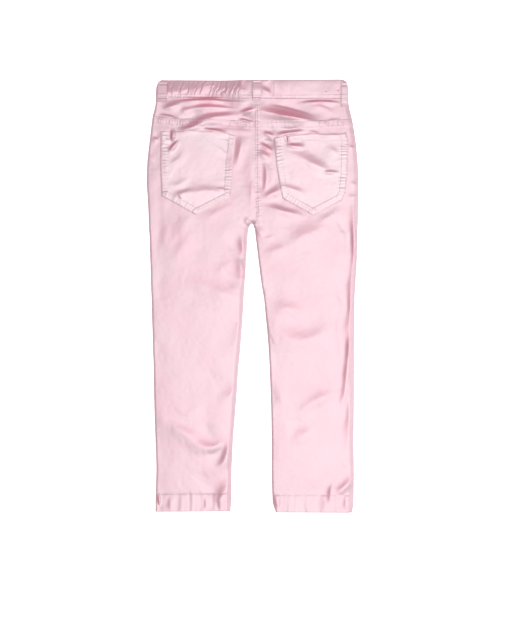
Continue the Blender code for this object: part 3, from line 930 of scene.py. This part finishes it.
class SatinJeansStage(bpy.types.PropertyGroup):
    frame_height: FloatProperty(
        name="View", description="Height of what the camera sees at the cloth", default=0.921, unit="LENGTH"
    )
    camera_height: FloatProperty(
        name="Camera", description="Height of the camera", default=2.4, unit="LENGTH"
    )
    offset: FloatVectorProperty(
        name="Aim",
        description="Where the camera looks, from the middle",
        size=2,
        default=(0.0114, -0.0373),
        unit="LENGTH",
    )
    key: FloatProperty(name="Key", description="Power of the overhead light", default=105.0, unit="POWER")
    side: FloatProperty(
        name="Side", description="Power of the light on the right", default=7.0, unit="POWER"
    )
    sky: FloatProperty(
        name="Surround", description="Strength of the even surround", default=0.4, min=0, max=2
    )
    glow: FloatProperty(name="Table", description="Strength of the lit table", default=0.95, min=0, max=2)


# ---- the stage

TABLE_HALF = 1.6
TABLE_TOP = -0.0004
# Each light's place, the place that it faces, and its width.
OVERHEAD = ((0.6, -0.38, 5.0), (0.6, -0.38, 0), 3.5)
RIGHT_LIGHT = ((1.4, -0.1, 1.0), (0, 0, 0), 1.3)


class StageMaker(bpy.types.Operator):
    """Lay a pale table, hang soft lights and point the camera straight down"""

    bl_idname = "satin_jeans.stage"
    bl_label = "Stage"

    def execute(self, context):
        scene = context.scene
        stage = scene.satin_jeans_stage
        mesh = bpy.data.meshes.new("table")
        half = TABLE_HALF
        corners = [(x * half, y * half, TABLE_TOP) for x, y in ((-1, -1), (1, -1), (1, 1), (-1, 1))]
        mesh.from_pydata(corners, [], [(0, 1, 2, 3)])
        mesh.materials.append(pale_floor("table_white", (0.97, 0.97, 0.97), stage.glow))
        table = bpy.data.objects.new("table", mesh)
        scene.collection.objects.link(table)
        self.light("overhead", *OVERHEAD, stage.key)
        self.light("lower_right", *RIGHT_LIGHT, stage.side)
        world = bpy.data.worlds.new("surround")
        world.use_nodes = True
        world.node_tree.nodes["Background"].inputs[0].default_value = (1.0, 0.985, 0.99, 1)
        world.node_tree.nodes["Background"].inputs[1].default_value = stage.sky
        scene.world = world
        camera = bpy.data.cameras.new("camera")
        camera.sensor_width = 36.0
        camera.lens = camera.sensor_width * stage.camera_height / stage.frame_height
        camera.clip_end = 20
        holder = bpy.data.objects.new("camera", camera)
        holder.location = (stage.offset[0], stage.offset[1], stage.camera_height + 0.005)
        scene.collection.objects.link(holder)
        scene.camera = holder
        scene.view_settings.view_transform = "Standard"
        scene.view_settings.look = "None"
        return {"FINISHED"}

    def light(self, name, place, aim, size, power):
        """A round light that faces a place."""
        lamp = bpy.data.lights.new(name, "AREA")
        lamp.shape = "DISK"
        lamp.size = size
        lamp.energy = power
        holder = bpy.data.objects.new(name, lamp)
        holder.location = place
        way = Vector(aim) - Vector(place)
        holder.rotation_euler = way.to_track_quat("-Z", "Y").to_euler()
        bpy.context.scene.collection.objects.link(holder)


# ---- panels and waistband

# The outline's edges on each side of the back.
SIDES = {"left": ("outer_left", "inner_left"), "right": ("inner_right", "outer_right")}


def spacing(step):
    """The distance between a grid's lines, as given."""
    return step * 1


def under_cloth(upper, wall, across, down):
    """The cloth's inner face: a wall's thickness down, thinned where the side rounds over."""
    nearest = np.minimum(*side_distances(across, down))
    return upper - 0.2 - (wall - 0.2) * smooth_step(nearest / 3.0)


class BackLegMaker(bpy.types.Operator):
    """Lay the two back leg panels over the front"""

    bl_idname = "satin_jeans.back_legs"
    bl_label = "Back legs"

    def execute(self, context):
        step = spacing(context.scene.satin_jeans_cloth.grid)
        columns = crowded(int(120 / step), 0.026, 6)
        rows = crowded(int(545 / step), 0.0026, 4, start=False)
        for side, (west, east) in SIDES.items():
            grid = patch(on(YOKE_SEAM), on(HEM_LINE), edge(west), edge(east), columns, rows)
            free = curve_at(grid[0], HEM_LINE.across, HEM_LINE.down) - grid[1]
            upper = back_height(*grid) - 0.8 * (1 - rounding(free / FREE_EDGE_RADIUS))
            lower = under_cloth(upper, BACK_CLOTH, *grid)
            piece = shell(f"satin_back_leg_{side}", *grid, upper, lower, 5, 5, painted_fold_shade(*grid))
            laid(piece, grid, "leg_satin", "satin", f"back_leg_{side}")
        return {"FINISHED"}


class YokeMaker(bpy.types.Operator):
    """Sew in the two halves of the yoke"""

    bl_idname = "satin_jeans.yokes"
    bl_label = "Yokes"

    def execute(self, context):
        step = spacing(0.75)
        columns = crowded(int(140 / step), 0.024, 6)
        rows = even(int(40 / step))
        for side, (west, east) in SIDES.items():
            grid = patch(on(WAIST_SEAM), on(YOKE_SEAM), edge(west), edge(east), columns, rows)
            upper = back_height(*grid)
            lower = under_cloth(upper, BACK_CLOTH, *grid)
            piece = shell(f"satin_yoke_{side}", *grid, upper, lower, 4, 5, painted_fold_shade(*grid))
            laid(piece, grid, "leg_satin", "satin", f"back_yoke_{side}")
        return {"FINISHED"}


class WaistbandMaker(bpy.types.Operator):
    """Wrap the waistband: its gathered back, and the overlap and underlap of its front"""

    bl_idname = "satin_jeans.waistband"
    bl_label = "Waistband"

    def execute(self, context):
        step = spacing(0.7)
        lines = (on(WAIST_TOP), on(WAIST_SEAM))
        columns = crowded(int(270 / step), 0.0126, 6)
        rows = crowded(int(26 / step), 0.05, 4, end=False)
        grid = patch(*lines, edge("outer_left"), edge("outer_right"), columns, rows)
        free = grid[1] - curve_at(grid[0], WAIST_TOP.across, WAIST_TOP.down)
        rolled = 0.5 + 0.6 * smooth_step((20 - grid[0]) / 30)
        upper = back_height(*grid) - 0.9 * (1 - rounding(free / FREE_EDGE_RADIUS))
        upper = upper - rolled * np.exp(-free / 3.2)
        lower = under_cloth(upper, BAND_CLOTH, *grid)
        # Painted shade on the folds' shaded flanks and on the steep sides of the gathers' ripples.
        painted_shade = painted_fold_shade(*grid) + 0.55 * steepness(*grid, gathers(*grid))
        piece = shell("satin_waistband_back", *grid, upper, lower, 4, 4, painted_shade)
        laid(piece, grid, "band_satin", "waistband_satin", "waistband_back")
        front_columns = crowded(110, 0.024, 6)
        grid = patch(*lines, edge("outer_left"), fixed(12.0), front_columns, even(22))
        self.front("left", grid, over_button(*grid))
        grid = patch(*lines, fixed(-18.0), edge("outer_right"), front_columns, even(22))
        inside = smooth_step((28.0 - grid[0]) / 11.0)
        self.front("right", grid, inside * 2.05 + over_button(*grid))
        return {"FINISHED"}

    def front(self, side, grid, lift):
        """One end of the front's waistband, lifted over what lies under it."""
        outer, _ = side_distances(*grid)
        turned = 1 - rounding(outer / EDGE_RADIUS)
        lower = lift + 1.5 * turned
        upper = np.minimum(lower + BAND_CLOTH, lift + BAND_CLOTH + 0.25 * turned)
        piece = shell(f"satin_waistband_front_{side}", *grid, upper, lower)
        laid(piece, grid, "band_satin", "waistband_satin", f"waistband_front_{side}")


def over_button(across, down):
    """How far the overlap rises where the button lies under it."""
    return 1.9 * bump(across, down, BUTTON_PLACE, 13, 26)


class FrontMaker(bpy.types.Operator):
    """Lay the front: two leg panels and the fly's strip"""

    bl_idname = "satin_jeans.front"
    bl_label = "Front"

    def execute(self, context):
        def west(down):
            strip = np.interp(down, FLY.down, FLY.across)
            return np.where(down < CROTCH[1], strip, edge("inner_left")(down))

        def east(down):
            middle = np.interp(down, FRONT_CENTRE.down, FRONT_CENTRE.across)
            return np.where(down < CROTCH[1], middle, edge("inner_right")(down))

        # Rows at even distances, and where the fly and the crotch turn.
        stations = [118, 138, FLY_END, 158, 206, 209, 214]
        stations = np.unique(np.concatenate([np.linspace(28, LENGTH, 200), stations]))
        rows = (stations - 28) / (LENGTH - 28)
        columns = crowded(52, 0.026, 6)
        panels = {
            "front_leg_left": (edge("outer_left"), west, columns, rows),
            "front_leg_right": (east, edge("outer_right"), columns, rows),
            "fly": (west, east, even(16), rows[stations <= FLY_END]),
        }
        for name, (left, right, u, v) in panels.items():
            grid = patch(on(WAIST_SEAM), on(HEM_LINE), left, right, u, v, gap=0.2)
            nearest = np.minimum(*side_distances(*grid))
            lower = 1.55 * (1 - rounding(nearest / EDGE_RADIUS))
            upper = FRONT_CLOTH + 0.7 * (1 - rounding(nearest / 2.0))
            laid(shell(f"satin_{name}", *grid, upper, lower), grid, "leg_satin", "satin", name)
        return {"FINISHED"}


# ---- pockets

POCKET_LINES = {
    "left": {
        "top": Line((-134, -131.5, -75, -36.5, -23.6, -20), (74.6, 74.5, 74.4, 77.2, 81.1, 82.0)),
        "bottom": Line((-134, -130.4, -80.8, -31.2, -27), (165.4, 167.3, 194.5, 169.5, 167.0)),
        "left": Line((-131.5, -132.3, -130.4, -129.0), (74, 123, 167.3, 195)),
        "right": Line((-23.6, -28.3, -31.2, -32.0), (80, 123, 169.5, 195)),
    },
    "right": {
        "top": Line((28, 31, 49.3, 83.7, 120.8, 134, 140), (84.5, 83.4, 81.5, 77.5, 78.4, 76.0, 75)),
        "bottom": Line((40, 43.0, 86.5, 128.4, 136), (169.4, 171.0, 195.2, 173.0, 168.0)),
        "left": Line((30.0, 34.0, 37.9, 43.0, 49), (84, 124, 148.4, 171.0, 195)),
        "right": Line((134.0, 137.1, 136.3, 133.3, 128.4, 122), (76, 87, 132, 163, 173, 195)),
    },
}
POCKET_CLOTH = 0.42
POCKET_LIFT = 0.08
POCKET_ROLL = 2.6
POCKET_HEM = 9.5
# How far inside the outline its two rows of stitches run.
POCKET_ROWS = (1.8, 9.4)
POCKET_PUCKERS = {
    "left": {"left": 0.6, "right": 0.3, "slope_left": 0.25, "slope_right": 0.12},
    "right": {"left": 0.35, "right": 0.28, "slope_left": 0.15, "slope_right": 0.1},
}
# To which side of each of its paths the pocket lies.
INWARD = {"left": -1, "right": 1, "slope_left": -1, "slope_right": -1}


def pocket_edges(side):
    """The pocket's top and bottom as functions of across, and its sides as functions of down."""
    lines = POCKET_LINES[side]

    def level(line):
        return lambda across: np.interp(across, line.across, line.down)

    def upright(line):
        return lambda down: np.interp(down, line.down, line.across)

    return level(lines["top"]), level(lines["bottom"]), upright(lines["left"]), upright(lines["right"])


def pocket_paths(side):
    """The pocket's outline as five paths: its sides, the two slopes of its point, and its mouth."""
    places = {name: np.stack([line.across, line.down], axis=1) for name, line in POCKET_LINES[side].items()}
    return {
        "left": places["left"][:-1],
        "right": places["right"][:-1],
        "slope_left": places["bottom"][1:3],
        "slope_right": places["bottom"][2:-1],
        "top": places["top"][1:-1],
    }


def pocket_seams(side):
    """Seams along the pocket's edges, each with two rows of stitches inside the edge, and the row
    of the hem below the mouth."""
    paths = pocket_paths(side)
    half = (POCKET_ROWS[1] - POCKET_ROWS[0]) / 2
    seams = []
    for k, (name, pucker) in enumerate(POCKET_PUCKERS[side].items()):
        middle = moved(paths[name], INWARD[name] * sum(POCKET_ROWS) / 2)
        groove = 0.24 if (side, name) == ("left", "slope_right") else 0.03
        seed = 60 + 10 * k + len(side)
        seams.append(Seam(middle, 2 * half, 0.12, pucker, 4.6, (-half, half), seed, groove))
    hem = moved(paths["top"], POCKET_HEM)
    seams.append(Seam(hem, 1.2, 0.0, 0.08, 5.0, (0.0,), 97 + len(side), 0.05))
    return seams


def moved(path, aside):
    """A path moved sideways, plus to the side that is further down where it runs across."""
    path = np.asarray(path, float)
    ahead = np.gradient(path, axis=0)
    ahead = ahead / np.hypot(ahead[:, :1], ahead[:, 1:])
    return path + aside * np.stack([-ahead[:, 1], ahead[:, 0]], axis=1)


class PocketMaker(bpy.types.Operator):
    """Sew the two patch pockets onto the back"""

    bl_idname = "satin_jeans.pockets"
    bl_label = "Pockets"

    def execute(self, context):
        step = spacing(0.8)
        columns = crowded(int(104 / step), 0.014, 4)
        rows = crowded(int(112 / step), 0.012, 4)
        for side in SIDES:
            grid = patch(*pocket_edges(side), columns, rows)
            upper = pocket_height(side, *grid)
            under = back_height(*grid)
            lower = np.maximum(np.minimum(upper - 0.15, under + 0.1), under + 0.03)
            # Painted shade on the folds' shaded flanks, and in a band just inside the pocket's outline over
            # its rounded edge.
            painted_shade = painted_fold_shade(*grid) + 0.2 * np.exp(-((pocket_gap(side, *grid) / 1.3) ** 2))
            piece = shell(f"satin_pocket_{side}", *grid, upper, lower, 2, 4, painted_shade)
            laid(piece, grid, "pocket_satin_painted_light", "satin", f"back_pocket_{side}")
        return {"FINISHED"}


def pocket_gap(side, across, down):
    """How far a place lies inside the pocket's outline."""
    gaps = [beside(path, across, down)[2] for path in pocket_paths(side).values()]
    return np.min(gaps, axis=0)


def pocket_height(side, across, down):
    """The leg's surface moved out by the pocket's cloth, rounded off at its folded edges, doubled
    at the hem along the mouth, and drawn up along its stitches."""
    gap = pocket_gap(side, across, down)
    mouth = beside(pocket_paths(side)["top"], across, down)[2]
    thick = POCKET_LIFT + POCKET_CLOTH * (1 - (1 - np.clip(gap / POCKET_ROLL, 0, 1)) ** 2) + 0.1
    hem = 0.3 * smooth_step((POCKET_HEM + 0.8 - mouth) / 1.2)
    folded = 0.1 * smooth_step((10.5 - gap) / 2)
    return back_height(across, down) + thick + hem + folded + seam_relief(pocket_seams(side), across, down)


# ---- belt loops

Loop = namedtuple("Loop", "across top bottom width tilt")
LOOPS = {
    "loop_back_centre": Loop(6.3, 2.4, 30.5, 12.4, -0.02),
    "loop_side_left": Loop(-129.0, 4.0, 32.5, 13.0, 0.03),
    "loop_side_right": Loop(131.2, 5.0, 39.5, 9.5, 0.0),
}
LOOP_CLOTH = 0.9
LOOP_ROW = 2.4


def loop_height(loop, across, down):
    """A folded strip that bridges the waistband: level over its width, bar tacked down at both
    ends, and rounded along its edges."""
    run = (down - loop.top) / (loop.bottom - loop.top)
    asides = np.linspace(-0.5, 0.5, 7) * loop.width
    base = np.max([back_height(loop.across + 0 * across + aside, down) for aside in asides], axis=0) + 0.2
    tack = -0.45 * np.exp(-(((run - 0.1) / 0.035) ** 2)) - 0.45 * np.exp(-(((run - 0.9) / 0.035) ** 2))
    from_middle = np.abs(across - loop.across)
    gap = np.minimum(loop.width / 2 - from_middle, np.minimum(down - loop.top, loop.bottom - down))
    groove = -0.07 * np.exp(-(((from_middle - (loop.width / 2 - LOOP_ROW)) / 0.6) ** 2))
    arch = 0.6 * smooth_step(run / 0.25) * smooth_step((1 - run) / 0.25)
    leaning = loop.tilt * (across - loop.across + loop.width / 2)
    return base + LOOP_CLOTH * (0.3 + 0.7 * rounding(gap / 0.9)) + arch + tack + groove + leaning


class LoopMaker(bpy.types.Operator):
    """Sew on the belt loops"""

    bl_idname = "satin_jeans.loops"
    bl_label = "Belt loops"

    def execute(self, context):
        u = crowded(26, 0.07, 4)
        v = crowded(52, 0.03, 4)
        for name, loop in LOOPS.items():
            columns = loop.across + loop.width * (u - 0.5)
            grid = np.meshgrid(columns, loop.top + (loop.bottom - loop.top) * v)
            upper = loop_height(loop, *grid)
            lower = upper - 0.3 - 0.8 * rounding(np.minimum(u, 1 - u) / 0.07)
            piece = shell(f"satin_{name}", *grid, upper, lower)
            # The loops' cut gets a millimetre to spare. A stated cut is at least 10 mm
            # wide.
            laid(piece, grid, "band_satin", "waistband_satin", name, 0.001)
        return {"FINISHED"}


# ---- stitches


def lengths_along(path):
    """How far along a path each of its points lies."""
    return np.concatenate([[0], np.cumsum(np.hypot(*np.diff(path, axis=0).T))])


def at_marks(path, marks):
    """The places on a path at distances along it."""
    gone = lengths_along(path)
    return np.stack([np.interp(marks, gone, path[:, i]) for i in (0, 1)], axis=1)


def trimmed(path, end):
    """A path without its last few millimetres at both ends."""
    marks = np.linspace(end, lengths_along(path)[-1] - end, max(2, len(path) * 4))
    return at_marks(path, marks)


def stitch_ends(path, aside, pitch, length):
    """Where the stitches along a path, moved sideways, start and end."""
    path = moved(path, aside)
    marks = np.arange(pitch / 2, lengths_along(path)[-1] - pitch / 4, pitch)
    return [at_marks(path, marks + k * length / 2) for k in (-1, 1)]


STITCH_RADIUS = 0.3
STITCH_RINGS = ((-1.0, 0.35), (-0.8, 0.8), (0.0, 1.0), (0.8, 0.8), (1.0, 0.35))
STITCH_SIDES = 6


def stitch_mesh(name, starts, ends):
    """Stitches as one mesh: about each line from start to end, rings of six points whose radius
    falls towards the ends, closed by a face at either end."""
    middle, half = (starts + ends) / 2, (ends - starts) / 2
    along = half / np.linalg.norm(half, axis=1, keepdims=True)
    side = np.cross(along, (0, 0, 1.0))
    side = side / np.linalg.norm(side, axis=1, keepdims=True)
    up = np.cross(side, along)
    angle = np.arange(STITCH_SIDES) * 2 * pi / STITCH_SIDES
    rings = []
    for place, size in STITCH_RINGS:
        centre = middle + half * place
        round_ = side[:, None] * np.cos(angle)[None, :, None] + up[:, None] * np.sin(angle)[None, :, None]
        rings.append(centre[:, None] + STITCH_RADIUS * size * round_)
    points = np.stack(rings, axis=1)
    count, tall, wide = points.shape[:3]
    index = np.arange(count * tall * wide).reshape(count, tall, wide)
    turned = np.roll(index, -1, axis=2)
    quads = np.stack([index[:, :-1], index[:, 1:], turned[:, 1:], turned[:, :-1]], axis=-1).reshape(-1, 4)
    caps = [index[:, 0], index[:, -1, ::-1]]
    faces = quads.tolist() + [cap.tolist() for group in caps for cap in group]
    return added(name, points, faces)


def sewn(name, runs, pitch, length):
    """Stitches along runs of (path, offset, height function), pulled half into the cloth."""
    starts, ends = [], []
    for path, aside, height in runs:
        for store, places in zip((starts, ends), stitch_ends(path, aside, pitch, length)):
            across, down = places.T
            store.append(np.stack([across, LENGTH / 2 - down, height(across, down) + 0.1], axis=1))
    piece = stitch_mesh(name, np.concatenate(starts), np.concatenate(ends))
    finished(piece, "sewing_thread", "thread")


# The front's rows of stitches: line, start, end and shift, and the outer row of the fly.
FRONT_ROWS = (
    (HEM_LINE, -136, -34, -25),
    (HEM_LINE, 33, 141, -25),
    (WAIST_SEAM, -134, -31, -2.6),
    (WAIST_SEAM, 31, 133, -2.6),
    (WAIST_TOP, -127, -31, 2.6),
    (WAIST_TOP, 31, 127, 2.6),
)
FLY_ROW = np.array([(-28.0, 30), (-28.0, 112), (-25.5, 126), (-18, 138), (-4, 151)])


class StitchMaker(bpy.types.Operator):
    """Topstitch the seams, hems, pockets, loops and fly"""

    bl_idname = "satin_jeans.stitches"
    bl_label = "Stitches"

    def execute(self, context):
        cloth = context.scene.satin_jeans_cloth
        pitch, length = cloth.stitch + cloth.stitch_gap, cloth.stitch
        back = [(seam.path, row, back_height) for seam in BACK_SEAMS for row in seam.rows]
        sewn("stitches_back", back, pitch, length)
        pockets = [
            (trimmed(seam.path, 2.0), row, partial(pocket_height, side))
            for side in SIDES
            for seam in pocket_seams(side)
            for row in seam.rows
        ]
        sewn("stitches_pockets", pockets, pitch, length)
        loops = []
        for loop in LOOPS.values():
            row = loop.width / 2 - LOOP_ROW
            path = np.array([(loop.across, loop.top + 2), (loop.across, loop.bottom - 2)])
            loops += [(path, aside, partial(loop_height, loop)) for aside in (-row, row)]
        sewn("stitches_loops", loops, pitch, length)
        front = [(line_path(*row), 0.0, underside) for row in FRONT_ROWS]
        front += [(FLY_ROW, aside, underside) for aside in (0.0, -6.0)]
        sewn("stitches_front", front, pitch, length)
        return {"FINISHED"}


def underside(across, down):
    """Where a stitch lies on the front's flat outer face, sunk so that the cloth still rests."""
    return 0.14 + 0 * across


# ---- the button

BUTTON_SECTION = (
    (0.01, 1.6), (4.0, 1.6), (6.3, 1.55), (7.1, 1.35), (7.5, 1.0), (7.5, 0.55), (7.2, 0.15), (6.8, 0.0),
    (5.8, 0.0), (5.3, 0.18), (5.0, 0.38), (4.0, 0.42), (2.0, 0.36), (0.01, 0.34),
)


class ButtonMaker(bpy.types.Operator):
    """Turn the tack button that lies under the overlap"""

    bl_idname = "satin_jeans.button"
    bl_label = "Button"

    def execute(self, context):
        turns = 64
        angle = np.arange(turns) * 2 * pi / turns
        radius, height = (np.array(part) for part in zip(*BUTTON_SECTION))
        points = np.stack(
            [
                radius[:, None] * np.cos(angle),
                LENGTH / 2 - BUTTON_PLACE[1] + radius[:, None] * np.sin(angle),
                height[:, None] + 0 * angle,
            ],
            axis=-1,
        )
        index = np.arange(points.shape[0] * turns).reshape(-1, turns)
        turned = np.roll(index, -1, axis=1)
        faces = np.stack([index[1:], turned[1:], turned[:-1], index[:-1]], axis=-1).reshape(-1, 4).tolist()
        faces += [index[0].tolist(), index[-1][::-1].tolist()]
        piece = added("tack_button", points, faces, radians(40))
        finished(piece, "brushed_metal", "button_metal", "button")
        return {"FINISHED"}


class SatinJeansPanel(bpy.types.Panel):
    """Lists the makers and the values that they use"""

    bl_idname = "VIEW3D_PT_satin_jeans"
    bl_label = "Satin Jeans"
    bl_space_type = "VIEW_3D"
    bl_region_type = "UI"
    bl_category = "Satin Jeans"

    def draw(self, context):
        for group in (context.scene.satin_jeans_cloth, context.scene.satin_jeans_stage):
            for key in group.__annotations__:
                self.layout.prop(group, key)
        for maker in MAKERS:
            self.layout.operator(maker.bl_idname)


MAKERS = (
    StageMaker,
    FrontMaker,
    BackLegMaker,
    YokeMaker,
    WaistbandMaker,
    PocketMaker,
    LoopMaker,
    StitchMaker,
    ButtonMaker,
)
CLASSES = (SatinJeansCloth, SatinJeansStage, *MAKERS, SatinJeansPanel)


def register():
    for kind in CLASSES:
        bpy.utils.register_class(kind)
    bpy.types.Scene.satin_jeans_cloth = PointerProperty(type=SatinJeansCloth)
    bpy.types.Scene.satin_jeans_stage = PointerProperty(type=SatinJeansStage)


def unregister():
    del bpy.types.Scene.satin_jeans_stage
    del bpy.types.Scene.satin_jeans_cloth
    for kind in reversed(CLASSES):
        bpy.utils.unregister_class(kind)


def main():
    register()
    cloth = bpy.context.scene.satin_jeans_cloth
    satin("leg_satin", cloth.light, cloth.deep, cloth.gloss)
    satin("band_satin", cloth.light, cloth.deep, cloth.gloss)
    # The pockets' paler satin is painted light.
    satin("pocket_satin_painted_light", cloth.pocket, cloth.deep, cloth.gloss)
    thread("sewing_thread", cloth.thread)
    brushed_metal("brushed_metal", cloth.metal)
    for maker in MAKERS:
        group, name = maker.bl_idname.split(".")
        getattr(getattr(bpy.ops, group), name)()


if __name__ == "__main__":
    main()
